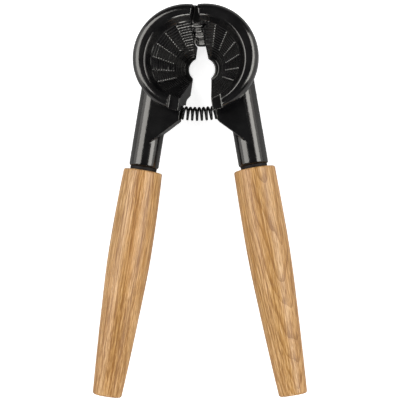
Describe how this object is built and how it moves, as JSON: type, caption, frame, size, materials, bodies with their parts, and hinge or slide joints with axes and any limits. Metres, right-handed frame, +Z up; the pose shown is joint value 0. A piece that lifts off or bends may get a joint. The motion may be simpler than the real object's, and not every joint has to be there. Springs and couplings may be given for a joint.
{
  "type": "hand-squeezed nut cracker",
  "caption": "Plier-type nut cracker: two ridged half-funnel jaws on one hinge, a coil spring that opens them, and turned wooden grips.",
  "frame": {"origin": "on the table under the middle of the tool, which lies on its back", "axes": "+Z up along the funnel's axis to its mouth, +Y from the grips to the hinge, +X from the left jaw to the right one"},
  "size_m": [0.1075, 0.1956, 0.034],
  "materials": {
    "enamel": "gloss black enamel",
    "pin_steel": "ground",
    "spring_steel": "dark, oil hardened",
    "stud_steel": "zinc plated",
    "insert_brass": "turned",
    "collar": "matte black",
    "wood": "satin lacquered oak"
  },
  "bodies": {
    "left": {"left_jaw": "enamel", "hinge_pin": "pin_steel", "return_spring": "spring_steel", "left_grip": "wood", "left_collar": "collar", "left_stud": "stud_steel", "left_insert": "insert_brass"},
    "right": {"right_jaw": "enamel", "right_grip": "wood", "right_collar": "collar", "right_stud": "stud_steel", "right_insert": "insert_brass"}
  },
  "joints": [
    {"name": "jaw_hinge", "type": "hinge", "parent": "left", "child": "right", "pos_m": [0, 0.0948, 0.014], "axis": [0, 0, 1], "range_deg": [-16.4, 0], "stiffness_Nm_per_rad": 13.8, "springref_deg": 3.44, "deforming": ["return_spring"]}
  ]
}
